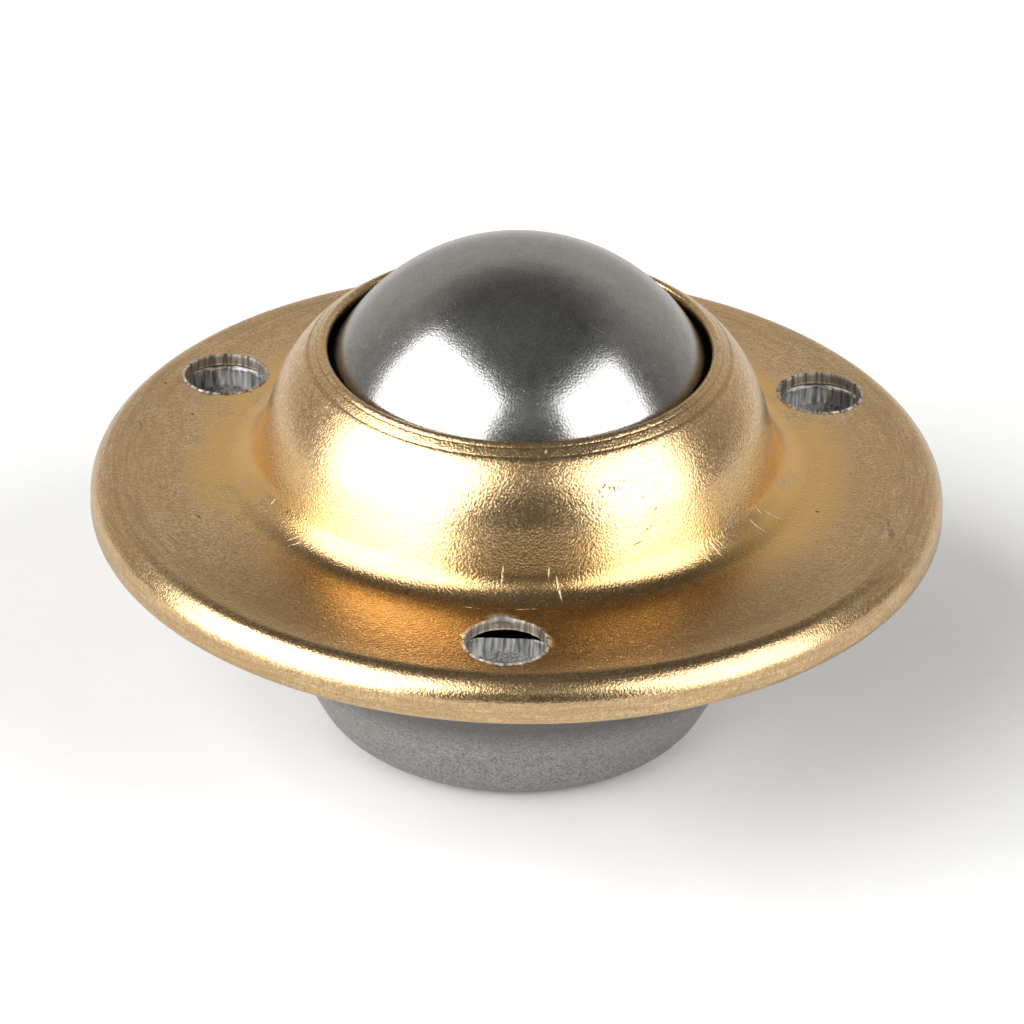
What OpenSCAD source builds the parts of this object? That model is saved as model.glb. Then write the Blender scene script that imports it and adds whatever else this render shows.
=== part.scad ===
// Flange-mounted ball transfer unit: a load ball turning on a bed of small balls
// in a pressed steel cup, held down by a crimped cap.
// The origin is on the axis, in the plane of the rim's underside. +Z is up.

/* [Load ball] */
// Diameter of the load ball
ball_d = 25.4; // [25.2:0.1:25.6]
// Height of the load ball's centre above the rim's underside
ball_z = 5.1; // [5:0.1:5.3]

/* [Support balls] */
// Diameter of one support ball
bed_ball_d = 4; // [3.95:0.05:4]
// Running gap on each side of the bed
bed_gap = 0.025; // [0.02:0.005:0.04]
// Gap between neighbours in a row
row_ball_gap = 0.04; // [0.03:0.01:0.05]
// Gap between one row and the next
row_gap = 0.11; // [0.1:0.01:0.14]
// Rows round the ball at the bottom
bed_rows = 4; // [3:1:4]

/* [Seat] */
// Thickness of the hardened seat
seat_t = 0.83; // [0.6:0.01:0.9]
// Height of the seat's rim above the rim of the unit
seat_rim_z = 0.9; // [0.5:0.1:1.2]

/* [Flange] */
// Outside diameter of the crimped rim
flange_d = 51.7; // [51.4:0.1:52.5]
// Height of the crimped rim
rim_h = 3.2; // [3.1:0.1:3.4]
// Slope of the bevel that is rolled along the top of the rim
bevel_angle = 45; // [40:1:50]
// Radius where the bevel starts, at the crease
bevel_top_r = 24.55; // [24.4:0.05:24.6]
// Bend radius between the bevel and the rim's side, on the outside
rim_bend_r = 0.8; // [0.7:0.05:1]
// Width of the sheet folded under the plate
fold_w = 1.75; // [1.4:0.05:1.8]
// Depth of the rolled crease inside the rim
crease_depth = 0.1; // [0.05:0.01:0.15]
// Pitch circle diameter of the mounting holes
hole_pcd = 42; // [41.8:0.1:42.2]
// Diameter of a mounting hole
hole_d = 5; // [4.8:0.1:5.1]
// Number of mounting holes
hole_count = 3; // [3:1:6]
// Rounding of the holes' punched edges
hole_edge_r = 0.2; // [0.1:0.05:0.3]

/* [Cap] */
// Thickness of the cap's sheet
cap_t = 0.7; // [0.6:0.05:0.7]
// Radius of the opening round the ball
lip_r = 11.62; // [11.6:0.01:11.8]
// Height of the lip's rounding above the flange
lip_h = 8.12; // [8.1:0.02:8.2]
// Rounding of the lip
lip_round = 0.3; // [0.2:0.05:0.35]
// Radius of the crease between the lip's band and the collar's shoulder
collar_crease_r = 12.87; // [12.8:0.01:12.95]
// Height of that crease above the flange
collar_crease_h = 7.75; // [7.7:0.01:7.8]
// Radius of the collar's shoulder in section
shoulder_r = 8.4; // [8:0.1:8.8]
// Angle of the collar's side from the axis
side_angle = 16; // [14:0.5:18]
// Radius of the bend between collar and flange, on the outside
collar_fillet_r = 2.2; // [2:0.1:2.3]

/* [Lower cup] */
// Wall thickness of the drawn cup
cup_wall = 1.08; // [0.9:0.02:1.1]
// Angle of the cup's cone from the axis
cone_angle = 28.5; // [27.5:0.5:29.5]
// Depth of the cup below the rim's underside
cup_depth = 13.8; // [13.6:0.1:14.2]
// Corner radius at the bottom of the cup, on the outside
cup_corner_r = 3.3; // [3:0.1:3.6]
// Corner radius at the bottom of the cup, on the inside
cup_inner_corner_r = 2.2; // [2:0.1:2.5]
// Bend radius from plate to cup, on the upper side
plate_bend_top_r = 3.5; // [3.3:0.1:3.6]
// Bend radius from plate to cup, on the lower side
plate_bend_low_r = 1.7; // [1.5:0.1:1.8]

/* [Hidden] */
$fn = 96;
arc_tolerance = 0.008;
shoulder_end_angle = 120;
seat_clearance = 0.02;
plate_edge_gap = 0.1;
fold_edge_r = 0.2;
crease_w = 0.25;
shoulder_start_angle = 45;
cap_gold = [0.80, 0.66, 0.42];
cup_grey = [0.55, 0.54, 0.52];
seat_grey = [0.42, 0.42, 0.43];
bright_steel = [0.78, 0.79, 0.80];

ball_c = [0, ball_z];
ball_r = ball_d / 2;
bed_ball_r = bed_ball_d / 2;
bed_centre_r = ball_r + bed_gap + bed_ball_r;
seat_in_r = bed_centre_r + bed_ball_r + bed_gap;
seat_out_r = seat_in_r + seat_t;
cup_in_r = seat_out_r + seat_clearance;
cup_out_r = cup_in_r + cup_wall;

flange_r = flange_d / 2;
plate_bottom_z = cap_t;
plate_top_z = rim_h - cap_t;
plate_r = flange_r - cap_t - plate_edge_gap;
floor_in_z = ball_z - seat_out_r;

// Angle between two rows of the bed, seen from the load ball's centre.
row_angle = 2 * asin((bed_ball_d + row_gap) / (2 * bed_centre_r));

// How many balls fit in row k, counted from the single ball at the bottom.
function row_count(k) =
    k == 0 ? 1
    : floor(180 / asin((bed_ball_d + row_ball_gap) / (2 * bed_centre_r * sin(k * row_angle))));

// Centre of ball j in row k. Alternate rows are turned by half a pitch.
function bed_place(k, j) =
    let (turn = (j + (k % 2) / 2) * 360 / row_count(k), low = k * row_angle)
    [bed_centre_r * sin(low) * cos(turn),
     bed_centre_r * sin(low) * sin(turn),
     ball_z - bed_centre_r * cos(low)];

BED = [for (k = [0:bed_rows]) for (j = [0:row_count(k) - 1]) bed_place(k, j)];

function bed_name(i) = str("support_ball_", i < 9 ? "0" : "", i + 1);

// Points of an arc in a section: x is the radius from the axis, y is the height.
// The chords leave the true arc by no more than arc_tolerance.
function arc(centre, r, from, to) =
    let (steps = max(3, ceil(abs(to - from) / (2 * acos(1 - arc_tolerance / r)))))
    [for (i = [0:steps])
        let (a = from + (to - from) * i / steps)
        centre + r * [cos(a), sin(a)]];

// Centre of a bend that touches a flat at height flat_z and a sphere about the ball's centre.
function bend_centre(bend_r, sphere_r, flat_z) =
    let (z = flat_z - bend_r)
    [sqrt(pow(sphere_r + bend_r, 2) - pow(z - ball_z, 2)), z];

// Angle of a point below the ball's centre, seen from that centre.
function dip(p) = atan2(ball_z - p[1], p[0]);

// Centre of a corner that touches the cone round a sphere and a floor at height floor_z.
function corner_centre(sphere_r, corner_r, floor_z) =
    let (z = floor_z + corner_r,
         off = sphere_r - corner_r,
         run = (ball_z - off * sin(cone_angle) - z) / cos(cone_angle))
    [off * cos(cone_angle) - run * sin(cone_angle), z];

// The collar's shoulder runs into a straight side, tangent to the fillet that leads to the flange.
collar_crease = [collar_crease_r, rim_h + collar_crease_h];
shoulder_out = [cos(shoulder_start_angle), sin(shoulder_start_angle)];
shoulder_c = collar_crease - shoulder_r * shoulder_out;
side_out = [cos(side_angle), sin(side_angle)];
side_top = shoulder_c + shoulder_r * side_out;
fillet_c = let (z = rim_h + collar_fillet_r, drop = side_top[1] + collar_fillet_r * side_out[1] - z)
    [side_top[0] + collar_fillet_r * side_out[0] + drop * tan(side_angle), z];

// The band between the collar's crease and the lip touches the lip's rounding.
under_crease = collar_crease - cap_t * shoulder_out;
lip_c = [lip_r + lip_round, rim_h + lip_h];
band_run = lip_c - collar_crease;
band_slope = 180 - atan2(band_run[1], band_run[0]) + asin(lip_round / norm(band_run));
lip_under = [lip_r, under_crease[1] + (under_crease[0] - lip_r) * tan(band_slope)];

// The bevel is a straight line in section. These give its height at a radius, and its radius
// at a height, at a depth below its outer face.
bevel_out = sin(bevel_angle) * bevel_top_r + cos(bevel_angle) * (rim_h - crease_depth);
function bevel_z(r, depth) = (bevel_out - depth - sin(bevel_angle) * r) / cos(bevel_angle);
function bevel_r(z, depth) = (bevel_out - depth - cos(bevel_angle) * z) / sin(bevel_angle);

wall_in_r = flange_r - cap_t;
rim_c = [flange_r - rim_bend_r, bevel_z(flange_r - rim_bend_r, rim_bend_r)];
fold_in_r = flange_r - fold_w;

// Section of the cap: up round the lip, down the collar, out to the rim, under it and back.
function cap_section() = concat(
    [lip_under],
    arc(lip_c, lip_round, 180, 90 - band_slope),
    arc(shoulder_c, shoulder_r, shoulder_start_angle, side_angle),
    arc(fillet_c, collar_fillet_r, 180 + side_angle, 270),
    [[bevel_top_r - crease_w, rim_h], [bevel_top_r, rim_h - crease_depth]],
    arc(rim_c, rim_bend_r, 90 - bevel_angle, 0),
    arc([wall_in_r, cap_t], cap_t, 0, -90),
    arc([fold_in_r + fold_edge_r, fold_edge_r], fold_edge_r, 270, 180),
    [[fold_in_r, cap_t], [wall_in_r, cap_t]],
    [[wall_in_r, bevel_z(wall_in_r, cap_t)], [bevel_r(plate_top_z, cap_t), plate_top_z]],
    arc(fillet_c, collar_fillet_r + cap_t, 270, 180 + side_angle),
    arc(shoulder_c, shoulder_r - cap_t, side_angle, shoulder_start_angle));

// Section of the lower cup: plate edge, upper face down to the floor, then the outside back up.
function cup_section() =
    let (top_bend = bend_centre(plate_bend_top_r, cup_in_r, plate_top_z),
         low_bend = bend_centre(plate_bend_low_r, cup_out_r, plate_bottom_z),
         in_corner = corner_centre(cup_in_r, cup_inner_corner_r, floor_in_z),
         out_corner = corner_centre(cup_out_r, cup_corner_r, -cup_depth))
    concat(
        [[plate_r, plate_bottom_z], [plate_r, bevel_z(plate_r, cap_t + plate_edge_gap)],
         [bevel_r(plate_top_z, cap_t + plate_edge_gap), plate_top_z]],
        arc(top_bend, plate_bend_top_r, 90, 180 - dip(top_bend)),
        arc(ball_c, cup_in_r, -dip(top_bend), -cone_angle),
        arc(in_corner, cup_inner_corner_r, -cone_angle, -90),
        [[0, floor_in_z], [0, -cup_depth]],
        arc(out_corner, cup_corner_r, -90, -cone_angle),
        arc(ball_c, cup_out_r, -cone_angle, -dip(low_bend)),
        arc(low_bend, plate_bend_low_r, 180 - dip(low_bend), 90));

// A punched hole: straight below, with its upper edge drawn in by the punch.
module punched_hole(top_z) {
    r = hole_d / 2;
    shoulder_c = [r + hole_edge_r, top_z - hole_edge_r];
    shoulder = arc(shoulder_c, hole_edge_r, 180, shoulder_end_angle);
    above = shoulder[len(shoulder) - 1]
        + hole_edge_r * [sin(shoulder_end_angle), -cos(shoulder_end_angle)];
    rotate_extrude()
        polygon(concat([[0, -rim_h], [r, -rim_h]], shoulder, [above, [0, above[1]]]));
}

module mounting_holes(top_z) {
    for (i = [0:hole_count - 1])
        rotate(i * 360 / hole_count - 90)
            translate([hole_pcd / 2, 0, 0])
                punched_hole(top_z);
}

module top_cap() {
    color(cap_gold)
        difference() {
            rotate_extrude() polygon(cap_section());
            mounting_holes(rim_h);
        }
}

module lower_cup() {
    color(cup_grey)
        difference() {
            rotate_extrude() polygon(cup_section());
            mounting_holes(plate_top_z);
        }
}

// The hardened seat that the bed runs in: a plain spherical bowl with a flat rim.
module ball_seat() {
    color(seat_grey)
        difference() {
            translate([0, 0, ball_z]) sphere(r = seat_out_r);
            translate([0, 0, ball_z]) sphere(r = seat_in_r);
            translate([0, 0, seat_rim_z + 2 * seat_out_r]) cube(4 * seat_out_r, center = true);
        }
}

module load_ball() {
    color(bright_steel)
        translate([0, 0, ball_z]) sphere(r = ball_r);
}

module support_ball(i) {
    color(bright_steel)
        translate(BED[i]) sphere(r = bed_ball_r, $fn = 48);
}

top_cap();
lower_cup();
ball_seat();
load_ball();
for (i = [0:len(BED) - 1])
    support_ball(i);
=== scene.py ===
import math

import bmesh
import bpy
from mathutils import Matrix, Vector, noise


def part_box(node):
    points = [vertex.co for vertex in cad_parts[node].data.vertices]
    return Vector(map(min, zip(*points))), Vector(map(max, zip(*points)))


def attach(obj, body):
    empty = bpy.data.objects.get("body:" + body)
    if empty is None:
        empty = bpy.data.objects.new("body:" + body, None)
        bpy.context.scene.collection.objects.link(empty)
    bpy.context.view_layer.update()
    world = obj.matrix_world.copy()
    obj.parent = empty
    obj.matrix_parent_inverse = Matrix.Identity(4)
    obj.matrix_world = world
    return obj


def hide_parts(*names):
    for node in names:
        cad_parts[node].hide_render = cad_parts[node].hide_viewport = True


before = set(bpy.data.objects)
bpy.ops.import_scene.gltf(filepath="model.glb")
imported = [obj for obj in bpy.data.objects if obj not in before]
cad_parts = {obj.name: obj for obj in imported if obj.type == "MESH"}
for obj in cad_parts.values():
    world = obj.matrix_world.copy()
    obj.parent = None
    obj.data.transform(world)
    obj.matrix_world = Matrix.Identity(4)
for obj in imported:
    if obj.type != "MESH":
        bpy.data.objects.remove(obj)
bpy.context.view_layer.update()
MM = 0.001

# ---------------------------------------------------------------------------
# Lower cup. One blank of bare steel sheet, drawn into a cup with a cone and a
# flat floor. Its outer part stays flat, as the plate that the cap is crimped
# round, and the three mounting holes are punched through it.
# ---------------------------------------------------------------------------
cap_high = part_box("top_cap")[1]
cup_low, cup_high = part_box("lower_cup")
ball_low, ball_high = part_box("load_ball")
seat_low, seat_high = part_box("ball_seat")
ball_centre = (0.0, (ball_high.z + ball_low.z) / 2)
seat_outside = ball_centre[1] - seat_low.z
plate_top = cup_high.z
plate_radius = cup_high.x
rim_gap = 0.1 * MM
sheet = cap_high.x - plate_radius - rim_gap
flange_top = plate_top + sheet
hole_circle = 21 * MM
hole_radius = 2.5 * MM
hole_count = 3
first_hole = math.radians(-90)
seat_gap = 0.02 * MM
cup_wall = 1.08 * MM
cup_inside = seat_outside + seat_gap
cup_outside = cup_inside + cup_wall
cup_cone = 28.5
crease_depth = 0.1 * MM
bevel_slope = math.radians(45)
bevel_top = (24.95 * MM, flange_top - crease_depth)


def arc(centre, radius, start, end, step=6.0):
    """Points of an arc in a section, as (distance from the axis, height)."""
    count = max(3, math.ceil(abs(end - start) / step))
    turns = [math.radians(start + (end - start) * i / count) for i in range(count + 1)]
    return [(centre[0] + radius * math.cos(t), centre[1] + radius * math.sin(t)) for t in turns]


def joined(*runs, longest=0.4 * MM):
    """One section from several runs, with points along the straight stretches between them."""
    points = list(runs[0])
    for run in runs[1:]:
        start, end = points[-1], run[0]
        count = max(1, math.ceil(math.dist(start, end) / longest))
        points += [tuple(a + (b - a) * i / count for a, b in zip(start, end)) for i in range(1, count)]
        points += run
    return points


def bend_onto_sphere(bend, sphere, flat):
    """Centre of a bend that touches a flat and a sphere about the load ball's centre."""
    z = flat - bend
    return math.sqrt((sphere + bend) ** 2 - (z - ball_centre[1]) ** 2), z


def dip(point):
    """How far a section point lies below the ball's centre, in degrees seen from it."""
    return math.degrees(math.atan2(ball_centre[1] - point[1], point[0]))


def corner_on_cone(sphere, corner, floor):
    """Centre of a corner that touches the cone below a sphere and a floor."""
    lean = math.radians(cup_cone)
    out = sphere - corner
    run = (ball_centre[1] - out * math.sin(lean) - floor - corner) / math.cos(lean)
    return out * math.cos(lean) - run * math.sin(lean), floor + corner


def on_bevel(depth, radius=None, height=None):
    """Point of the rim's bevel, at a depth below its outer face, at a radius or at a height."""
    level = math.sin(bevel_slope) * bevel_top[0] + math.cos(bevel_slope) * bevel_top[1] - depth
    if height is None:
        return radius, (level - math.sin(bevel_slope) * radius) / math.cos(bevel_slope)
    return (level - math.cos(bevel_slope) * height) / math.sin(bevel_slope), height


def fill(socket, value):
    """Links a node's input to another node's value, or sets a plain value on it."""
    if isinstance(value, bpy.types.NodeSocket):
        socket.id_data.links.new(value, socket)
    else:
        socket.default_value = value


def node_maker(tree):
    """A function that adds a node to the tree, sets its options, and fills its inputs."""

    def add(kind, inputs=None, **options):
        node = tree.nodes.new(kind)
        for name, value in options.items():
            setattr(node, name, value)
        for key, value in (inputs or {}).items():
            fill(node.inputs[key], value)
        return node

    return add


def new_tree(name, kind, inputs, outputs):
    """A node group with named inputs and outputs: the tree, its adder, its input and output node."""
    tree = bpy.data.node_groups.new(name, kind)
    for in_out, sockets in (("INPUT", inputs), ("OUTPUT", outputs)):
        for label, socket_type in sockets.items():
            tree.interface.new_socket(label, in_out=in_out, socket_type="NodeSocket" + socket_type)
    add = node_maker(tree)
    return tree, add, add("NodeGroupInput").outputs, add("NodeGroupOutput").inputs


def calc(add, operation, *values):
    """One step of arithmetic on numbers or sockets."""
    return add("ShaderNodeMath", dict(enumerate(values)), operation=operation).outputs[0]


def finish_tree(add, shape, given, out):
    """The end of every geometry tree: all instances made real, and the material set."""
    real = add("GeometryNodeRealizeInstances", {"Geometry": shape})
    painted = add("GeometryNodeSetMaterial", {"Geometry": real.outputs[0], "Material": given["Material"]})
    fill(out["Geometry"], painted.outputs[0])


def spun_sheet_tree():
    """The points of a section, in their order, are turned once round Z into a welded sheet."""
    tree, add, given, out = new_tree(
        "spun_sheet", "GeometryNodeTree",
        {"Section": "Geometry", "Steps": "Int", "Weld": "Float", "Material": "Material"},
        {"Geometry": "Geometry"})
    section = add("GeometryNodeAttributeDomainSize", {"Geometry": given["Section"]})
    rows = section.outputs["Point Count"]
    height = calc(add, "SUBTRACT", rows, 1.0)
    grid = add("GeometryNodeMeshGrid", {
        "Size X": 2 * math.pi, "Size Y": height,
        "Vertices X": calc(add, "ADD", given["Steps"], 1.0), "Vertices Y": rows})
    place = add("GeometryNodeInputPosition").outputs[0]
    flat = add("ShaderNodeSeparateXYZ", {0: place}).outputs
    row = calc(add, "ROUND", calc(add, "MULTIPLY_ADD", height, 0.5, flat["Y"]))
    point = add("GeometryNodeSampleIndex", {"Geometry": given["Section"], "Value": place, "Index": row},
                data_type="FLOAT_VECTOR")
    turned = add("ShaderNodeVectorRotate", {"Vector": point.outputs["Value"], "Angle": flat["X"]},
                 rotation_type="Z_AXIS")
    bent = add("GeometryNodeSetPosition", {"Geometry": grid.outputs["Mesh"],
                                           "Position": turned.outputs[0]})
    welded = add("GeometryNodeMergeByDistance", {"Geometry": bent.outputs[0],
                                                 "Distance": given["Weld"]})
    finish_tree(add, welded.outputs[0], given, out)
    return tree


def run_tree(piece, tree, **values):
    """Runs a geometry tree on a piece with the named inputs, and keeps the plain result."""
    modifier = piece.modifiers.new(tree.name, "NODES")
    modifier.node_group = tree
    for item in tree.interface.items_tree:
        key = item.name.replace(" ", "_").lower()
        if item.in_out == "INPUT" and key in values:
            modifier[item.identifier] = values[key]
    graph = bpy.context.evaluated_depsgraph_get()
    graph.update()
    result = bpy.data.meshes.new_from_object(piece.evaluated_get(graph))
    piece.modifiers.remove(modifier)
    piece.data = result
    result.name = piece.name


def tidy_mesh(piece, weld):
    """Welds a mesh, drops faces and edges without size, and turns its faces outwards."""
    shape = bmesh.new()
    shape.from_mesh(piece.data)
    bmesh.ops.remove_doubles(shape, verts=shape.verts, dist=weld)
    bmesh.ops.dissolve_degenerate(shape, edges=shape.edges, dist=weld)
    bmesh.ops.delete(shape, geom=[v for v in shape.verts if not v.link_faces], context="VERTS")
    bmesh.ops.recalc_face_normals(shape, faces=shape.faces)
    shape.to_mesh(piece.data)
    shape.free()


def new_piece(name, points):
    """An object at the origin that holds bare points, for a geometry tree to work on."""
    mesh = bpy.data.meshes.new(name)
    mesh.from_pydata(points, [], [])
    piece = bpy.data.objects.new(name, mesh)
    bpy.context.scene.collection.objects.link(piece)
    return piece


def spun(name, section, steps, material=None, weld=0.002 * MM):
    """A piece turned from a section whose ends meet each other or both stand on the axis."""
    piece = new_piece(name, [(r, 0, z) for r, z in section])
    run_tree(piece, spin_tree, steps=steps, weld=weld, material=material)
    tidy_mesh(piece, weld)
    return piece


def punched_holes_tree():
    """At each of Count places on the hole circle a torn lip joins the sheet and a punch is cut out."""
    tree, add, given, out = new_tree(
        "punched_holes", "GeometryNodeTree",
        {"Sheet": "Geometry", "Punch": "Object", "Lip": "Object", "Count": "Int",
         "Circle Radius": "Float", "First Turn": "Float", "Material": "Material"},
        {"Geometry": "Geometry"})
    circle = add("GeometryNodeMeshCircle", {"Vertices": given["Count"], "Radius": given["Circle Radius"]})
    turn = add("ShaderNodeCombineXYZ", {"Z": given["First Turn"]})
    places = add("GeometryNodeTransform", {"Geometry": circle.outputs[0], "Rotation": turn.outputs[0]})
    work = given["Sheet"]
    for tool, operation in (("Lip", "UNION"), ("Punch", "DIFFERENCE")):
        shape = add("GeometryNodeObjectInfo", {"Object": given[tool]})
        stood = add("GeometryNodeInstanceOnPoints", {"Points": places.outputs[0],
                                                     "Instance": shape.outputs["Geometry"]})
        tools = add("GeometryNodeRealizeInstances", {"Geometry": stood.outputs[0]})
        worked = add("GeometryNodeMeshBoolean", operation=operation, solver="MANIFOLD")
        fill(worked.inputs["Mesh 2" if operation == "UNION" else "Mesh 1"], work)
        fill(worked.inputs["Mesh 2"], tools.outputs[0])
        work = worked.outputs["Mesh"]
    finish_tree(add, work, given, out)
    return tree


def roughen(piece, amount, size):
    """Moves the points of a small turned piece in and out, as the edge of torn metal is uneven."""
    for point in piece.data.vertices:
        outwards = Vector((point.co.x, point.co.y, 0))
        if outwards.length > size:
            point.co += outwards.normalized() * amount * noise.noise(point.co / size)


# The punch, the ring of torn metal that it leaves, and how unevenly that ring ends.
hole_steps = 160
punch_above, punch_below = 0.15 * MM, 0.02 * MM
breakout = 0.06 * MM
shoulder_slope = 10
lip_reach, lip_wall = 0.3 * MM, 0.12 * MM
lip_sunk, lip_short, lip_foot = 0.75 * MM, 0.1 * MM, 0.2 * MM
ridge_foot, ridge_root = (0.2 * MM, 0.05 * MM), 0.3 * MM
tear_grain, tear_share, ridge_share = 0.4 * MM, 0.35, 0.6
touching = 0.01 * MM
fine_weld = 0.001 * MM


def punch_holes(piece, top, bottom, shoulder, ridge, tear, material):
    """Punches the mounting holes, whose edge is drawn in or stands up, and tears out below.

    The punch breaks out a little wider below. The torn lip is a ring in the sheet round the punch:
    it starts at a ridge on the sheet, or below its top face, and ends in the tear.
    """
    crown = top + ridge
    end = bottom - tear if tear else bottom + lip_short
    above, below = crown + punch_above, min(end, bottom) - punch_below
    mouth = [(hole_radius, above)]
    if shoulder:
        mouth = arc((hole_radius + shoulder, top - shoulder), shoulder, 180, 90 + shoulder_slope, step=10)
        run = (above - mouth[-1][1]) / math.tan(math.radians(shoulder_slope))
        mouth.append((mouth[-1][0] + run, above))
    punch = spun("punch", joined([(0, below)], [(hole_radius + breakout, below)],
                                 [(hole_radius, below + 2 * breakout)], mouth, [(0, above)]),
                 hole_steps)
    roughen(punch, amount=0.05 * MM, size=0.35 * MM)

    inside, root, wall = hole_radius - lip_reach, hole_radius + lip_reach, hole_radius + lip_wall
    crest = [(inside, top - lip_sunk), (root, top - lip_sunk)]
    if ridge:
        crest = [(inside, crown), (hole_radius + ridge, crown),
                 (hole_radius + ridge_foot[0], top - ridge_foot[1]), (root, top - ridge_root)]
    lip = spun("torn_lip", [*crest, (root, bottom + lip_foot), (wall, end + 0.3 * tear),
                            (wall, end), (inside, end), crest[0]], hole_steps)
    for point in lip.data.vertices:
        uneven = noise.noise(point.co / tear_grain)
        if point.co.z < end + touching:
            point.co.z += tear * tear_share * (1 + uneven)
        elif point.co.z > crown - touching:
            point.co.z += ridge * ridge_share * uneven

    run_tree(piece, punch_tree, punch=punch, lip=lip, count=hole_count, circle_radius=hole_circle,
             first_turn=first_hole, material=material)
    bpy.data.objects.remove(punch)
    bpy.data.objects.remove(lip)
    tidy_mesh(piece, fine_weld)


# The flange hangs from one radius to another, by a depth at its rim, and above the fold only.
droop_start = 17.8 * MM
droop_end = 24.3 * MM
droop_depth = 0.2 * MM
droop_floor, droop_fade = 0.6 * MM, 1 * MM


def droop(piece):
    """Lets the flange hang: pressing leaves its rim a little lower than the foot of the collar.

    Points below the droop's floor, in the fold under the plate, stay where they are.
    """
    for point in piece.data.vertices:
        outwards = (math.hypot(point.co.x, point.co.y) - droop_start) / (droop_end - droop_start)
        upwards = (point.co.z - droop_floor) / droop_fade
        point.co.z -= droop_depth * max(0, min(1, outwards)) * max(0, min(1, upwards))


def smooth(piece, sharpest):
    """Shades a piece smooth, apart from edges that turn by more than the given angle."""
    piece.data.shade_smooth()
    shape = bmesh.new()
    shape.from_mesh(piece.data)
    for edge in shape.edges:
        edge.smooth = edge.calc_face_angle(math.pi) < math.radians(sharpest)
    shape.to_mesh(piece.data)
    shape.free()


def new_material(name):
    """A material with an empty tree: the material, its adder and its Principled shader."""
    material = bpy.data.materials.new(name)
    material.use_nodes = True
    material.node_tree.nodes.clear()
    add = node_maker(material.node_tree)
    shader = add("ShaderNodeBsdfPrincipled")
    add("ShaderNodeOutputMaterial", {"Surface": shader.outputs[0]})
    return material, add, shader


def between(add, value, start, end):
    """A mask that rises from 0 at one value to 1 at the other."""
    return add("ShaderNodeMapRange", {"Value": value, "From Min": start, "From Max": end}).outputs[0]


def spread(add, mask, low, high):
    """A mask spread over a range of its own."""
    return add("ShaderNodeMapRange", {"Value": mask, "To Min": low, "To Max": high}).outputs[0]


def both(add, first, second):
    """The product of two masks, or of a mask and its strength."""
    return calc(add, "MULTIPLY", first, second)


def sum_of(add, start, *parts):
    """A value with weighted parts added to it, each part given as (value, weight)."""
    total = start
    for value, weight in parts:
        total = calc(add, "MULTIPLY_ADD", value, weight, total)
    return total


def upright(add, height):
    """A vector that points straight up, as long as the given value."""
    return add("ShaderNodeCombineXYZ", {"Z": height}).outputs[0]


def grain_group():
    """Grain of worked sheet from two sizes of noise: a height, and a mask of its high places."""
    tree, add, given, out = new_tree(
        "sheet_grain", "ShaderNodeTree",
        {"Vector": "Vector", "Coarse": "Float", "Fine": "Float", "Fineness": "Float"},
        {"Height": "Float", "Mask": "Float"})
    coarse = add("ShaderNodeTexNoise", {"Vector": given["Vector"], "Scale": given["Coarse"],
                                        "Detail": 2.0, "Roughness": 0.55})
    fine = add("ShaderNodeTexNoise", {"Vector": given["Vector"], "Scale": given["Fine"],
                                      "Detail": 1.0, "Roughness": 0.6})
    height = add("ShaderNodeMix", {"Factor": given["Fineness"], "A": coarse.outputs["Fac"],
                                   "B": fine.outputs["Fac"]}).outputs[0]
    fill(out["Height"], height)
    fill(out["Mask"], between(add, height, 0.38, 0.62))
    return tree


# Radius in mm on which single marks are laid out, and how fine drawn-out patterns are.
unrolled_radius = 18.0
drawn_round, drawn_across = 8.0, 5.0


def turned_place_group():
    """Place on a turned piece: radius and section (height less radius) in mm, turn in degrees.

    Along is a place for patterns that are drawn out along the turn. Unrolled is one for single
    marks, as if the piece were a cylinder of the unrolled radius.
    """
    tree, add, given, out = new_tree(
        "turned_place", "ShaderNodeTree", {"Vector": "Vector"},
        {"Radius": "Float", "Section": "Float", "Turn": "Float", "Height": "Float",
         "Along": "Vector", "Unrolled": "Vector"})
    split = add("ShaderNodeSeparateXYZ", {0: given["Vector"]}).outputs
    level = add("ShaderNodeCombineXYZ", {"X": split["X"], "Y": split["Y"]}).outputs[0]
    radius = add("ShaderNodeVectorMath", {0: level}, operation="LENGTH").outputs["Value"]
    section = calc(add, "SUBTRACT", split["Z"], radius)
    turn = calc(add, "ARCTAN2", split["X"], both(add, split["Y"], -1.0))
    unrolled = add("ShaderNodeCombineXYZ", {"X": both(add, turn, unrolled_radius), "Y": section})
    unit = add("ShaderNodeVectorMath", {0: level}, operation="NORMALIZE").outputs[0]
    unit = add("ShaderNodeVectorMath", {0: unit, "Scale": drawn_round}, operation="SCALE").outputs[0]
    across = upright(add, both(add, section, drawn_across))
    along = add("ShaderNodeVectorMath", {0: unit, 1: across}, operation="ADD").outputs[0]
    for name, value in (("Radius", radius), ("Section", section), ("Turn", calc(add, "DEGREES", turn)),
                        ("Height", split["Z"]), ("Along", along), ("Unrolled", unrolled.outputs[0])):
        fill(out[name], value)
    return tree


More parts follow.
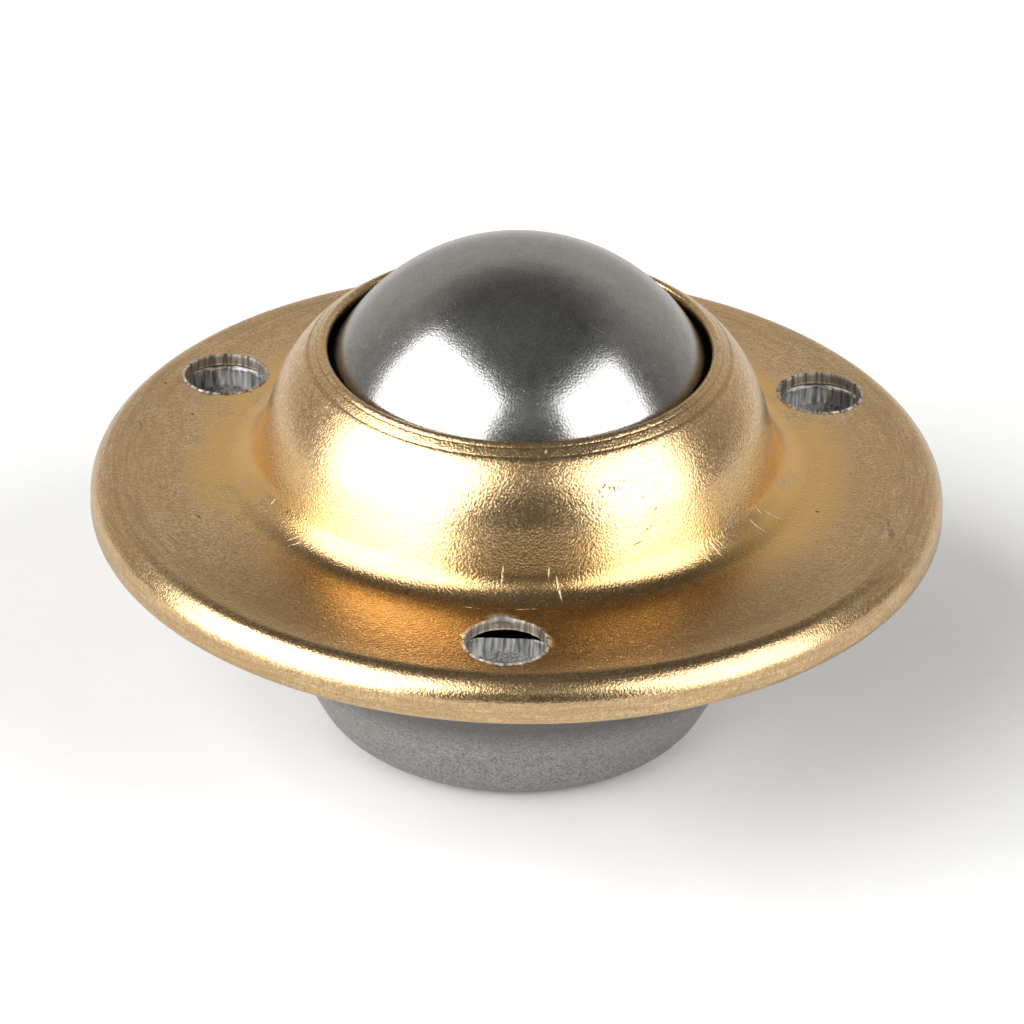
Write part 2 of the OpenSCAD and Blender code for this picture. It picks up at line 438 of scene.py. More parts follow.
def hole_edge_group():
    """Masks round the punched holes: their edge, Width wide, their streaked wall, its torn part."""
    tree, add, given, out = new_tree(
        "punched_edge", "ShaderNodeTree",
        {"Radius": "Float", "Turn": "Float", "Height": "Float", "Width": "Float", "Torn": "Float"},
        {"Edge": "Float", "Wall": "Float", "Streak": "Float", "Break": "Float"})
    pitch, true_radius = 360 / hole_count, hole_radius / MM
    edge_fade, wall_from, wall_to = 0.06, 0.02, 0.08
    streaks_round, streaks_down = 11.0, 0.5
    tear_ragged, tear_from, tear_to = 0.8, 0.45, 0.30
    near = calc(add, "RADIANS", calc(add, "WRAP", given["Turn"], pitch / 2, -pitch / 2))
    across = both(add, given["Radius"], calc(add, "SINE", near))
    along = calc(add, "MULTIPLY_ADD", given["Radius"], calc(add, "COSINE", near), -hole_circle / MM)
    flat = add("ShaderNodeCombineXYZ", {"X": across, "Y": along}).outputs[0]
    away = add("ShaderNodeVectorMath", {0: flat}, operation="LENGTH").outputs["Value"]
    ragged = add("ShaderNodeTexNoise", {"Vector": flat, "Scale": 2.5, "Detail": 3.0}).outputs["Fac"]
    limit = calc(add, "ADD", both(add, ragged, given["Width"]), true_radius)
    edge = between(add, away, calc(add, "ADD", limit, edge_fade), limit)
    wall = between(add, away, true_radius + wall_to, true_radius + wall_from)
    shear = add("ShaderNodeVectorMath", {0: flat}, operation="NORMALIZE").outputs[0]
    lines = add("ShaderNodeVectorMath", {0: shear, "Scale": streaks_round}, operation="SCALE").outputs[0]
    drop = upright(add, both(add, given["Height"], streaks_down))
    lines = add("ShaderNodeVectorMath", {0: lines, 1: drop}, operation="ADD").outputs[0]
    streak = add("ShaderNodeTexNoise", {"Vector": lines, "Scale": 1.0, "Detail": 2.0}).outputs["Fac"]
    level = sum_of(add, given["Height"], (ragged, tear_ragged))
    above_tear = calc(add, "SUBTRACT", level, given["Torn"])
    for name, value in (("Edge", edge), ("Wall", wall), ("Streak", between(add, streak, 0.35, 0.65)),
                        ("Break", between(add, above_tear, tear_from, tear_to))):
        fill(out[name], value)
    return tree


def specks_group():
    """Small round specks, Size wide in cells that are one over Scale wide, in a Share of them."""
    tree, add, given, out = new_tree(
        "specks", "ShaderNodeTree",
        {"Vector": "Vector", "Scale": "Float", "Size": "Float", "Share": "Float"},
        {"Mask": "Float"})
    cells = add("ShaderNodeTexVoronoi", {"Vector": given["Vector"], "Scale": given["Scale"]}).outputs
    chance = add("ShaderNodeSeparateXYZ", {0: cells["Color"]}).outputs["X"]
    kept = calc(add, "LESS_THAN", chance, given["Share"])
    fill(out["Mask"], both(add, between(add, cells["Distance"], given["Size"], 0.0), kept))
    return tree


def dress(node, **inputs):
    """Fills the named inputs of a shader or a group."""
    for name, value in inputs.items():
        fill(node.inputs[name.replace("_", " ").title()], value)


def effect(add, tree, **inputs):
    """A shared shader group, placed in a material with its own values."""
    node = add("ShaderNodeGroup", node_tree=tree)
    dress(node, **inputs)
    return node.outputs


def millimetres(add):
    """The place on the object, in millimetres."""
    place = add("ShaderNodeTexCoord").outputs["Object"]
    return add("ShaderNodeMapping", {"Vector": place, "Scale": (1 / MM,) * 3}).outputs[0]


def blend(add, mask, first, second):
    """A colour between two others, by a mask. A plain colour is given as (red, green, blue)."""
    mix = add("ShaderNodeMix", data_type="RGBA")
    sockets = {socket.identifier: socket for socket in mix.inputs}
    fill(sockets["Factor_Float"], mask)
    for key, colour in (("A_Color", first), ("B_Color", second)):
        fill(sockets[key], (*colour, 1) if isinstance(colour, tuple) else colour)
    return next(socket for socket in mix.outputs if socket.identifier == "Result_Color")


def overlaid(add, tone, *layers):
    """A colour with others laid over it in turn, each given as (mask, colour)."""
    for mask, colour in layers:
        tone = blend(add, mask, tone, colour)
    return tone


spin_tree = spun_sheet_tree()
punch_tree = punched_holes_tree()
sheet_grain = grain_group()
turned_place = turned_place_group()
punched_edge = hole_edge_group()
specks = specks_group()

grey, pale_grey = (0.30, 0.29, 0.28), (0.57, 0.55, 0.52)
speck_grey, rim_shade_grey = (0.13, 0.125, 0.12), (0.16, 0.15, 0.14)
shear_dark, shear_pale = (0.17, 0.17, 0.17), (0.66, 0.66, 0.65)
torn_dark, torn_pale = (0.16, 0.15, 0.14), (0.42, 0.41, 0.39)
# Heights, in mm, over which the painted shade under the cap's rim comes in on the cup.
rim_shade_from, rim_shade_full = -9.0, -6.8

cup_steel, add, shader = new_material("bare_pressed_steel")
place = millimetres(add)
turned = effect(add, turned_place, vector=place)
grain = effect(add, sheet_grain, vector=place, coarse=2.0, fine=8.0, fineness=0.7)
dark = effect(add, specks, vector=place, scale=3.0, size=0.3, share=0.55)
hole = effect(add, punched_edge, radius=turned["Radius"], turn=turned["Turn"],
              height=turned["Height"], width=0.1, torn=1.0)
# Painted shade: the cup darkens towards its top, under the cap's rim.
rim_shade_mask = both(add, between(add, turned["Height"], rim_shade_from, rim_shade_full), 0.8)
sheared = blend(add, hole["Streak"], shear_dark, shear_pale)
torn = blend(add, grain["Mask"], torn_dark, torn_pale)
tone = blend(add, grain["Mask"], grey, pale_grey)
tone = overlaid(add, tone, (dark["Mask"], speck_grey), (rim_shade_mask, rim_shade_grey),
                (hole["Wall"], blend(add, hole["Break"], sheared, torn)))
height = sum_of(add, grain["Height"], (dark["Mask"], -0.3))
relief = add("ShaderNodeBump", {"Height": height, "Distance": 0.03 * MM})
dress(shader, base_color=tone, roughness=spread(add, grain["Height"], 0.28, 0.50),
      normal=relief.outputs[0], metallic=0.95)

upper_bend, lower_bend = 4.0 * MM, 1.7 * MM
plate_depth = sheet + rim_gap
inner_corner, outer_corner = 2.2 * MM, 3.3 * MM
upper_bend_at = bend_onto_sphere(upper_bend, cup_inside, plate_top)
lower_bend_at = bend_onto_sphere(lower_bend, cup_outside, sheet)
inner_corner_at = corner_on_cone(cup_inside, inner_corner, seat_low.z)
outer_corner_at = corner_on_cone(cup_outside, outer_corner, cup_low.z)
cup = spun("drawn_cup", joined(
    [(0.0, seat_low.z)],
    arc(inner_corner_at, inner_corner, -90, -cup_cone),
    arc(ball_centre, cup_inside, -cup_cone, -dip(upper_bend_at), step=2),
    arc(upper_bend_at, upper_bend, 180 - dip(upper_bend_at), 90),
    [on_bevel(plate_depth, height=plate_top)],
    [on_bevel(plate_depth, radius=plate_radius)],
    [(plate_radius, sheet)],
    arc(lower_bend_at, lower_bend, 90, 180 - dip(lower_bend_at)),
    arc(ball_centre, cup_outside, -dip(lower_bend_at), -cup_cone, step=2),
    arc(outer_corner_at, outer_corner, -cup_cone, -90),
    [(0.0, cup_low.z)]), steps=300, material=cup_steel)
punch_holes(cup, top=plate_top, bottom=sheet, shoulder=0.45 * MM, ridge=0, tear=0.6 * MM,
            material=cup_steel)
droop(cup)
smooth(cup, sharpest=40)
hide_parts("lower_cup")
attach(cup, "housing")

# ---------------------------------------------------------------------------
# Ball seat. A bowl pressed from sheet, hardened and ground inside, that lies
# in the cup. The support balls run in it. Its rim is cut flat.
# ---------------------------------------------------------------------------
bed_names = sorted(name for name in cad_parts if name.startswith("support_ball_"))
bed_boxes = [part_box(name) for name in bed_names]
bed_centres = [(low + high) / 2 for low, high in bed_boxes]
bed_ball_radius = (bed_boxes[0][1].z - bed_boxes[0][0].z) / 2
bed_circle = (bed_centres[0] - Vector((0, 0, ball_centre[1]))).length
ball_radius = (ball_high.z - ball_low.z) / 2
seat_inside = 2 * bed_circle - ball_radius
seat_edge = 0.1 * MM
seat_mouth = math.sqrt(seat_inside ** 2 - (seat_high.z - ball_centre[1]) ** 2)
seat_grey, seat_pale = (0.16, 0.16, 0.165), (0.26, 0.26, 0.265)


def angle_at(radius, height):
    """Direction, from the ball's centre, of the point at a height on a sphere round it."""
    return math.degrees(math.asin((height - ball_centre[1]) / radius))


seat_steel, add, shader = new_material("hardened_seat_steel")
place = millimetres(add)
grain = effect(add, sheet_grain, vector=place, coarse=2.5, fine=9.0, fineness=0.5)
tone = blend(add, grain["Mask"], seat_grey, seat_pale)
dress(shader, base_color=tone, roughness=spread(add, grain["Height"], 0.2, 0.4), metallic=1.0)

seat = spun("hardened_seat", joined(
    arc(ball_centre, seat_inside, -90, angle_at(seat_inside, seat_high.z - seat_edge), step=3),
    [(seat_mouth + seat_edge, seat_high.z)],
    [(seat_high.x - seat_edge, seat_high.z)],
    arc(ball_centre, seat_outside, angle_at(seat_outside, seat_high.z - seat_edge), -90, step=3)),
    steps=192, material=seat_steel)
smooth(seat, sharpest=30)
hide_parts("ball_seat")
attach(seat, "housing")

# ---------------------------------------------------------------------------
# Bed of support balls. Small polished bearing balls of chrome steel, in rings
# between the seat and the load ball. They roll round as the load ball turns.
# ---------------------------------------------------------------------------
def bed_tree():
    """One small ball stands on each point, and all are made real."""
    tree, add, given, out = new_tree(
        "support_bed", "GeometryNodeTree",
        {"Places": "Geometry", "Ball Radius": "Float", "Segments": "Int", "Material": "Material"},
        {"Geometry": "Geometry"})
    ball = add("GeometryNodeMeshUVSphere", {
        "Segments": given["Segments"], "Rings": calc(add, "MULTIPLY", given["Segments"], 0.5),
        "Radius": given["Ball Radius"]})
    round_ball = add("GeometryNodeSetShadeSmooth", {"Geometry": ball.outputs["Mesh"]})
    balls = add("GeometryNodeInstanceOnPoints", {"Points": given["Places"],
                                                 "Instance": round_ball.outputs[0]})
    finish_tree(add, balls.outputs[0], given, out)
    return tree


bed_grey, bed_pale = (0.5, 0.5, 0.5), (0.62, 0.62, 0.61)

bed_steel, add, shader = new_material("polished_bed_steel")
place = millimetres(add)
grain = effect(add, sheet_grain, vector=place, coarse=3.0, fine=14.0, fineness=0.5)
tone = blend(add, grain["Mask"], bed_grey, bed_pale)
dress(shader, base_color=tone, roughness=spread(add, grain["Height"], 0.05, 0.14), metallic=1.0)

bed = new_piece("support_bed", bed_centres)
run_tree(bed, bed_tree(), ball_radius=bed_ball_radius, segments=32, material=bed_steel)
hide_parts(*bed_names)
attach(bed, "support_balls")

# ---------------------------------------------------------------------------
# Load ball. A ground and lapped ball of chrome steel, held by the cap's lip.
# Use has left fine scratches and small pits in its polish.
# ---------------------------------------------------------------------------
def scratches_group():
    """Long thin scratches, where a slow noise crosses its middle value, broken up by another."""
    tree, add, given, out = new_tree(
        "fine_scratches", "ShaderNodeTree",
        {"Vector": "Vector", "Scale": "Float", "Line": "Float"}, {"Mask": "Float"})
    field = add("ShaderNodeTexNoise", {"Vector": given["Vector"], "Scale": given["Scale"],
                                       "Detail": 0.0}).outputs["Fac"]
    off = calc(add, "ABSOLUTE", calc(add, "SUBTRACT", field, 0.5))
    breaks = add("ShaderNodeTexNoise", {"Vector": given["Vector"], "Scale": 0.7,
                                        "Detail": 2.0}).outputs["Fac"]
    line = between(add, off, given["Line"], 0.0)
    fill(out["Mask"], both(add, line, between(add, breaks, 0.48, 0.6)))
    return tree


fine_scratches = scratches_group()
ball_grey, ball_pale = (0.365, 0.36, 0.35), (0.465, 0.455, 0.445)
pit_grey, dust_white = (0.16, 0.16, 0.15), (0.85, 0.85, 0.85)

ball_steel, add, shader = new_material("lapped_ball_steel")
place = millimetres(add)
grain = effect(add, sheet_grain, vector=place, coarse=1.1, fine=7.5, fineness=0.65)
pits = effect(add, specks, vector=place, scale=0.9, size=0.07, share=0.5)
dust = effect(add, specks, vector=place, scale=2.3, size=0.10, share=0.2)
lines = effect(add, fine_scratches, vector=place, scale=0.12, line=0.002)
tone = blend(add, grain["Mask"], ball_grey, ball_pale)
tone = overlaid(add, tone, (pits["Mask"], pit_grey), (dust["Mask"], dust_white))
gloss = sum_of(add, spread(add, grain["Height"], 0.13, 0.27), (lines["Mask"], 0.15), (dust["Mask"], 0.4))
height = sum_of(add, grain["Height"], (lines["Mask"], -0.2), (pits["Mask"], -1.0))
relief = add("ShaderNodeBump", {"Height": height, "Distance": 0.011 * MM})
dress(shader, base_color=tone, roughness=gloss, normal=relief.outputs[0], metallic=0.98)

load_ball = spun("lapped_ball", arc(ball_centre, ball_radius, -90, 90, step=1.4),
                 steps=256, material=ball_steel)
smooth(load_ball, sharpest=60)
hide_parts("load_ball")
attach(load_ball, "load_ball")

# ---------------------------------------------------------------------------
# Top cap. One blank of steel sheet, drawn up into the collar, turned in at the
# lip, and plated with yellow zinc. Its rim is rolled down over the plate and
# folded under it, which holds the whole unit together.
# ---------------------------------------------------------------------------
lip_round = 0.3 * MM
lip_radius = 11.62 * MM
lip_centre = (lip_radius + lip_round, cap_high.z - lip_round)
band_end = (12.87 * MM, flange_top + 7.75 * MM)
shoulder = 8.4 * MM
shoulder_start = 45
side_lean = 16
collar_foot = 2.2 * MM
rim_bend = 1.6 * MM
rim_wall = cap_high.x - sheet
fold_inside = cap_high.x - 1.75 * MM
fold_edge = 0.2 * MM
rim_roll = 1.3 * MM


def on_arc(centre, radius, turn):
    """One point of an arc in a section."""
    return arc(centre, radius, turn, turn)[0]


def groove(start, end, at, width, depth):
    """Points of a rounded groove across a straight stretch, sunk to the right of its direction."""
    length = math.dist(start, end)
    along = [(b - a) / length for a, b in zip(start, end)]
    half = 4
    points = []
    for step in range(-half, half + 1):
        run = at + step * width / (2 * half)
        sink = depth * math.cos(math.pi * step / (2 * half)) ** 2
        points.append((start[0] + along[0] * run + along[1] * sink,
                       start[1] + along[1] * run - along[0] * sink))
    return points


shoulder_centre = on_arc(band_end, shoulder, shoulder_start + 180)
side_start = on_arc(shoulder_centre, shoulder + collar_foot, side_lean)
side_drop = side_start[1] - flange_top - collar_foot
foot_centre = (side_start[0] + side_drop * math.tan(math.radians(side_lean)), flange_top + collar_foot)
roll_centre = on_bevel(rim_roll, height=flange_top - rim_roll)
rim_centre = on_bevel(rim_bend, radius=cap_high.x - rim_bend)
under_band = on_arc(shoulder_centre, shoulder - sheet, shoulder_start)
band_run = (lip_centre[0] - band_end[0], lip_centre[1] - band_end[1])
band_slope = 180 - math.degrees(math.atan2(band_run[1], band_run[0])
                                - math.asin(lip_round / math.hypot(*band_run)))
lip_under = (lip_radius, under_band[1]
             + (under_band[0] - lip_radius) * math.tan(math.radians(band_slope)))
band_start = on_arc(lip_centre, lip_round, 90 - band_slope)
band_length = math.dist(band_start, band_end)


def within(add, value, start, full, ebb, end):
    """A mask that rises between two values, stays at 1, and falls between two others."""
    return both(add, between(add, value, start, full), between(add, value, end, ebb))


def marks(add, turned, places):
    """A mask of short marks, each given as (turn, section, slant, half length, half width)."""
    nearest = 1.0
    for turn, section, slant, length, width in places:
        away = add("ShaderNodeMapping", {
            "Vector": turned["Unrolled"], "Location": (math.radians(turn) * unrolled_radius, section, 0),
            "Rotation": (0, 0, -math.radians(slant)), "Scale": (width, length, 1)},
            vector_type="TEXTURE")
        away = add("ShaderNodeVectorMath", {0: away.outputs[0]}, operation="LENGTH").outputs["Value"]
        nearest = calc(add, "MINIMUM", nearest, away)
    return between(add, nearest, 1.0, 0.6)


def ring(add, turned, section, width):
    """A dark line of painted shade once round the cap, at a place along its section."""
    off = calc(add, "ABSOLUTE", calc(add, "SUBTRACT", turned["Section"], section))
    return between(add, off, width, width / 2)


bright_scratches = [
    (-1.5, -11.1, 4, 0.8, 0.08), (10.6, -12.3, -6, 1.3, 0.08), (8.6, -10.9, 5, 0.5, 0.06),
    (3.7, -14.1, 86, 0.8, 0.05), (-7.2, -14.2, 92, 0.6, 0.05), (63.5, -12.6, -14, 1.2, 0.06),
    (70.0, -13.0, -18, 1.1, 0.06), (67.0, -11.6, -15, 0.7, 0.05), (49.0, -12.1, -12, 1.2, 0.06),
    (46.0, -12.6, -10, 0.6, 0.05), (-50.6, -13.4, 30, 0.7, 0.07), (-52.5, -13.3, 30, 0.5, 0.06),
    (-64.8, -11.9, 10, 0.4, 0.06), (9.0, -1.2, 20, 0.2, 0.12)]
dark_marks = [
    (-113.2, -20.7, 20, 0.18, 0.12), (-105.2, -17.6, 40, 0.16, 0.14), (-55.5, -17.0, 60, 0.25, 0.1),
    (-60.5, -15.3, 0, 0.16, 0.1), (-58.5, -11.7, 20, 0.22, 0.1), (76.8, -15.6, 30, 0.18, 0.14),
    (66.8, -16.7, 10, 0.16, 0.12), (-69.5, -17.2, 80, 0.4, 0.08), (21.8, -5.3, -20, 0.45, 0.14),
    (22.9, -4.7, 40, 0.3, 0.12), (24.3, -4.8, 5, 0.35, 0.12), (25.4, -5.0, -10, 0.4, 0.1),
    (26.9, -4.9, 20, 0.45, 0.12), (28.4, -4.6, 70, 0.25, 0.12), (31.5, -6.3, 80, 0.5, 0.1),
    (33.2, -8.2, 60, 0.7, 0.07), (31.6, -8.8, 70, 0.9, 0.07), (29.4, -9.6, 75, 0.6, 0.08),
    (35.5, -7.3, 50, 0.5, 0.07)]
stains = [(77.2, -20.1, 70, 0.5, 0.12), (74.5, -20.6, 60, 0.6, 0.22), (-100.0, -20.4, 60, 0.5, 0.1),
          (-64.0, -19.6, 80, 0.9, 0.08)]
chips = [(-1.0, -15.15, 0, 0.62, 1.1)]

# Where the finish and colour of the plating change, and where painted reflection and painted shade lie,
# in mm, or in degrees of turn from the front.
foot_ring = (14.8, 15.8, 18.6, 20.6)
front_shade_ring = (15.2, 16.4, 23.0, 24.6)
front_shade_turn = (-66.0, -40.0, 40.0, 66.0)
worn_from, worn_full = 20.0, 23.5
roll_from, roll_full = -20.9, -21.6
lower_edge_from, lower_edge_full = 2.70, 2.60
crest_from, crest_full = 3.06, 3.18

deep_gold, pale_gold = (0.60, 0.39, 0.195), (1.0, 0.75, 0.44)
# Of the colours below, the orange at the collar's foot is painted reflection, and the browns of the front
# flange and of the lines by the lip are painted shade.
patch_gold, foot_reflection_gold, worn_gold = (0.80, 0.52, 0.24), (1.0, 0.64, 0.24), (0.50, 0.34, 0.18)
front_shade_deep, front_shade_pale = (0.38, 0.25, 0.12), (0.58, 0.38, 0.19)
dirt_brown, groove_shade_brown, stain_brown = (0.22, 0.13, 0.06), (0.30, 0.20, 0.10), (0.24, 0.19, 0.17)
scratch_cream, mark_black, chip_grey = (0.98, 0.86, 0.62), (0.07, 0.042, 0.02), (0.27, 0.26, 0.25)
cut_dark, cut_pale = (0.17, 0.14, 0.11), (0.50, 0.43, 0.36)
rough_dark, rough_pale = (0.24, 0.18, 0.12), (0.62, 0.52, 0.40)
edge_cream, crest_cream = (0.85, 0.72, 0.50), (0.86, 0.80, 0.71)

zinc_gold, add, shader = new_material("yellow_zinc_plate")
place = millimetres(add)
turned = effect(add, turned_place, vector=place)
grain = effect(add, sheet_grain, vector=place, coarse=2.4, fine=7.0, fineness=0.72)
patches = effect(add, sheet_grain, vector=place, coarse=0.16, fine=0.9, fineness=0.3)
drawn = effect(add, sheet_grain, vector=turned["Along"], coarse=0.35, fine=1.0, fineness=0.6)
dirt = effect(add, specks, vector=place, scale=1.3, size=0.12, share=0.3)
droop_mask = between(add, turned["Radius"], droop_start / MM, droop_end / MM)
level = sum_of(add, turned["Height"], (droop_mask, droop_depth / MM))
hole = effect(add, punched_edge, radius=turned["Radius"], turn=turned["Turn"],
              height=level, width=0.28, torn=2.55)

gold = blend(add, grain["Mask"], deep_gold, pale_gold)
front_shade_tone = blend(add, grain["Mask"], front_shade_deep, front_shade_pale)
patchy = both(add, patches["Mask"], 0.5)
# Painted reflection: patches of deeper orange round the foot of the collar, where collar and flange
# mirror each other.
foot_reflection_mask = both(add, within(add, turned["Radius"], *foot_ring), between(add, patches["Height"], 0.36, 0.52))
# Painted shade: the front half of the flange round the collar is darker brown, as where it mirrors the
# dim front of the room.
front_flange_shade = both(add, within(add, turned["Radius"], *front_shade_ring), within(add, turned["Turn"], *front_shade_turn))
worn = both(add, between(add, turned["Radius"], worn_from, worn_full), drawn["Mask"])
tone = overlaid(add, gold, (patchy, patch_gold), (foot_reflection_mask, foot_reflection_gold), (both(add, front_flange_shade, 0.9), front_shade_tone),
                (both(add, worn, 0.55), worn_gold), (dirt["Mask"], dirt_brown))
# Painted shade: dark lines round the cap, in the groove below the lip and in the crease where the band
# meets the collar.
for section, width in ((lip_centre[1] - lip_centre[0] - 0.3 * MM, 0.1),
                       (band_end[1] - band_end[0] + 0.1 * MM, 0.3)):
    groove_shade = both(add, ring(add, turned, section / MM, width), 0.35)
    tone = blend(add, groove_shade, tone, groove_shade_brown)

stained = both(add, marks(add, turned, stains), 0.45)
bright = both(add, marks(add, turned, bright_scratches), between(add, grain["Height"], 0.38, 0.5))
dark = both(add, marks(add, turned, dark_marks), between(add, grain["Height"], 0.60, 0.44))
chip = marks(add, turned, chips)
bare = calc(add, "MAXIMUM", hole["Edge"], chip)
lower_edge = both(add, between(add, level, lower_edge_from, lower_edge_full), hole["Streak"])
crest = both(add, between(add, level, crest_from, crest_full), hole["Streak"])
cut_wall = blend(add, hole["Streak"], cut_dark, cut_pale)
rough_wall = blend(add, grain["Mask"], rough_dark, rough_pale)
wall = overlaid(add, cut_wall, (hole["Break"], rough_wall), (lower_edge, edge_cream),
                (crest, crest_cream))
tone = overlaid(add, tone, (stained, stain_brown), (bright, scratch_cream), (dark, mark_black),
                (bare, wall), (both(add, chip, 0.7), chip_grey))

rolled = between(add, turned["Section"], roll_from, roll_full)
gloss = sum_of(add, spread(add, grain["Height"], 0.17, 0.32), (bare, 0.35), (bright, 0.35))
height = sum_of(add, grain["Height"], (both(add, rolled, grain["Height"]), -0.15))
relief = add("ShaderNodeBump", {"Height": height, "Distance": 0.027 * MM})
dress(shader, base_color=tone, roughness=gloss, normal=relief.outputs[0], metallic=1.0)

cap = spun("crimped_cap", joined(
    [lip_under],
    arc(lip_centre, lip_round, 180, 90 - band_slope, step=12),
    groove(band_start, band_end, at=0.2 * MM, width=0.2 * MM, depth=0.008 * MM),
    groove(band_start, band_end, at=band_length - 0.14 * MM, width=0.28 * MM, depth=0.012 * MM),
    arc(shoulder_centre, shoulder, shoulder_start, side_lean, step=2),
    arc(foot_centre, collar_foot, 180 + side_lean, 270, step=5),
    arc(roll_centre, rim_roll, 90, 45, step=5),
    arc(rim_centre, rim_bend, 45, 0, step=9),
    arc((rim_wall, sheet), sheet, 0, -90, step=9),
    arc((fold_inside + fold_edge, fold_edge), fold_edge, 270, 180, step=15),
    [(fold_inside, sheet)],
    [(rim_wall, sheet)],
    [on_bevel(sheet, radius=rim_wall)],
    [on_bevel(sheet, height=plate_top)],
    arc(foot_centre, collar_foot + sheet, 270, 180 + side_lean, step=10),
    arc(shoulder_centre, shoulder - sheet, side_lean, shoulder_start, step=3),
    [lip_under]), steps=360, material=zinc_gold)
punch_holes(cap, top=flange_top, bottom=plate_top, shoulder=0, ridge=0.06 * MM, tear=0,
            material=zinc_gold)

nick_at = (-0.25 * MM, -19.05 * MM, 0)
nick_floor, nick_mouth = flange_top - 0.25 * MM, flange_top + 0.3 * MM
nick_radius, nick_mouth_radius = 0.85 * MM, 1.05 * MM
nick = spun("nick", [(0, nick_floor), (nick_radius, nick_floor), (nick_mouth_radius, nick_mouth),
                     (0, nick_mouth)], steps=10)
nick.data.transform(Matrix.Translation(nick_at))
cut = cap.modifiers.new("nick", "BOOLEAN")
cut.operation, cut.solver, cut.object = "DIFFERENCE", "EXACT", nick
bpy.context.view_layer.objects.active = cap
bpy.ops.object.modifier_apply(modifier=cut.name)
bpy.data.objects.remove(nick)
tidy_mesh(cap, fine_weld)
droop(cap)
smooth(cap, sharpest=40)
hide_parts("top_cap")
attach(cap, "housing")

# ---------------------------------------------------------------------------
# Studio. A round table top of pale paper, two soft boxes in front at the left
# and the right, and a dim room with a pale wall behind.
# ---------------------------------------------------------------------------
floor_radius = 0.27
box_distance = 1.6
paper_grey, paper_white, unseen_grey = (0.94, 0.94, 0.94), (0.97, 0.97, 0.97), (0.65, 0.65, 0.65)

paper, add, shader = new_material("pale_paper")
place = millimetres(add)
grain = effect(add, sheet_grain, vector=place, coarse=0.05, fine=0.6, fineness=0.3)
seen = add("ShaderNodeLightPath")
seen_tone = blend(add, grain["Mask"], paper_grey, paper_white)
tone = blend(add, seen.outputs["Is Camera Ray"], unseen_grey, seen_tone)
dress(shader, base_color=tone, roughness=0.9)
fill(shader.inputs["Specular IOR Level"], 0.1)

bpy.ops.mesh.primitive_circle_add(vertices=96, radius=floor_radius, fill_type="NGON",
                                  location=(0, 0, cup_low.z))
floor = bpy.context.object
floor.name = "table_top"
floor.data.materials.append(paper)


def direction(azimuth, elevation):
    """Unit vector from the unit towards the room: azimuth 0 is the front, 90 its right."""
    a, e = math.radians(azimuth), math.radians(elevation)
    return Vector((math.sin(a) * math.cos(e), -math.cos(a) * math.cos(e), math.sin(e)))


def soft_box(name, azimuth, elevation, width, height, brightness):
    """A soft box whose width and height are given as seen from the unit, per metre of distance."""
    lamp = bpy.data.lights.new(name, "AREA")
    lamp.shape = "RECTANGLE"
    lamp.size, lamp.size_y = width * box_distance, height * box_distance
    lamp.energy = brightness * math.pi * lamp.size * lamp.size_y
    box = bpy.data.objects.new(name, lamp)
    box.location = direction(azimuth, elevation) * box_distance
    box.rotation_euler = direction(azimuth, elevation).to_track_quat("Z", "Y").to_euler()
    box.visible_camera = False
    bpy.context.scene.collection.objects.link(box)


soft_box("left_soft_box", azimuth=-60, elevation=27.5, width=1.35, height=1.27, brightness=4.6)
soft_box("right_soft_box", azimuth=62, elevation=23, width=0.88, height=1.06, brightness=3.5)

room = bpy.data.worlds.new("dim_room")
bpy.context.scene.world = room
room.use_nodes = True
room.node_tree.nodes.clear()
add = node_maker(room.node_tree)
looking = add("ShaderNodeTexCoord")
towards = add("ShaderNodeSeparateXYZ", {0: looking.outputs["Generated"]})


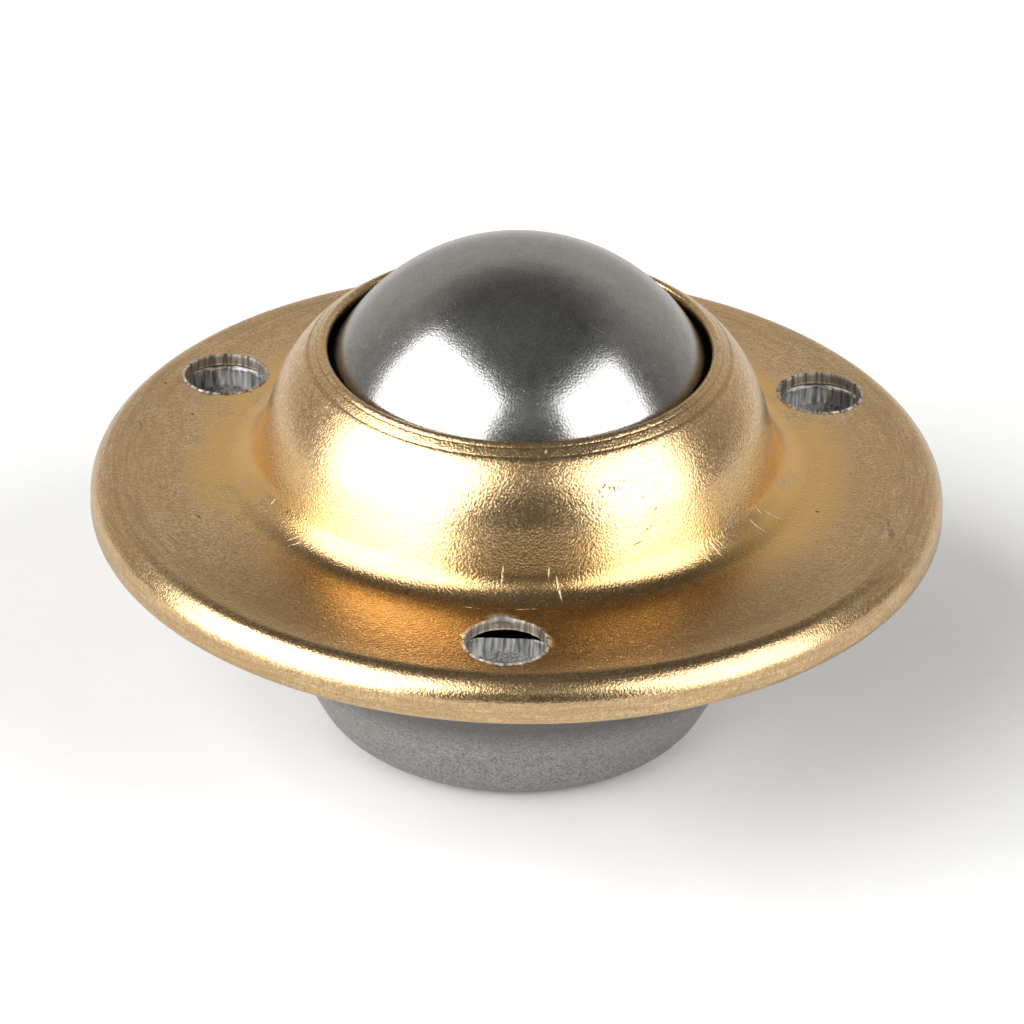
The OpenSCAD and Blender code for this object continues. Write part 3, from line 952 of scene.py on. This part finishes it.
def room_shades(stops):
    """Grey of the room from the lowest direction, -1, to straight up, 1."""
    ramp = add("ShaderNodeValToRGB", {0: between(add, towards.outputs["Z"], -1.0, 1.0)})
    ramp.color_ramp.elements.remove(ramp.color_ramp.elements[1])
    for number, (level, grey) in enumerate(stops):
        place = (level + 1) / 2
        stop = ramp.color_ramp.elements[0] if number == 0 else ramp.color_ramp.elements.new(place)
        stop.position = place
        stop.color = (*grey, 1)
    return ramp.outputs[0]


front = room_shades([(-0.5, (0.3, 0.3, 0.3)), (0.0, (0.055, 0.055, 0.053)), (0.5, (0.05, 0.05, 0.046)),
                     (0.64, (0.22, 0.22, 0.21)), (0.74, (0.20, 0.20, 0.19)), (0.86, (0.06, 0.06, 0.055)),
                     (1.0, (0.12, 0.12, 0.115))])
back = room_shades([(-0.1, (0.6, 0.57, 0.54)), (0.2, (0.54, 0.51, 0.475)), (0.5, (0.55, 0.52, 0.48)),
                    (0.77, (0.115, 0.11, 0.10)), (1.0, (0.12, 0.12, 0.115))])
behind = between(add, towards.outputs["Y"], 0.02, 0.8)
shade = blend(add, behind, front, back)
seen = add("ShaderNodeLightPath")
shown = blend(add, seen.outputs["Is Camera Ray"], shade, (1, 1, 1))
air = add("ShaderNodeBackground", {"Color": shown})
add("ShaderNodeOutputWorld", {"Surface": air.outputs[0]})
bpy.context.scene.view_settings.view_transform = "Standard"

# ---------------------------------------------------------------------------
# Camera. A long lens, a metre away, looks down at the unit from the front. It
# stands a little off the unit's middle and is turned slightly about its axis.
# ---------------------------------------------------------------------------
camera_azimuth, camera_elevation, camera_roll = 1.26, 29.69, 1.2
camera_distance = 1.0
camera_lens = 580
aim_right, aim_up = -0.32 * MM, -2.74 * MM

lens = bpy.data.cameras.new("camera")
lens.sensor_width = 36
lens.lens = camera_lens
lens.clip_start = 0.01
camera = bpy.data.objects.new("camera", lens)
bpy.context.scene.collection.objects.link(camera)
bpy.context.scene.camera = camera
outward = direction(camera_azimuth, camera_elevation)
turned = outward.to_track_quat("Z", "Y").to_matrix() @ Matrix.Rotation(math.radians(camera_roll), 3, "Z")
aim = Vector((0, 0, flange_top)) + turned.col[0] * aim_right + turned.col[1] * aim_up
camera.matrix_world = Matrix.Translation(aim + outward * camera_distance) @ turned.to_4x4()
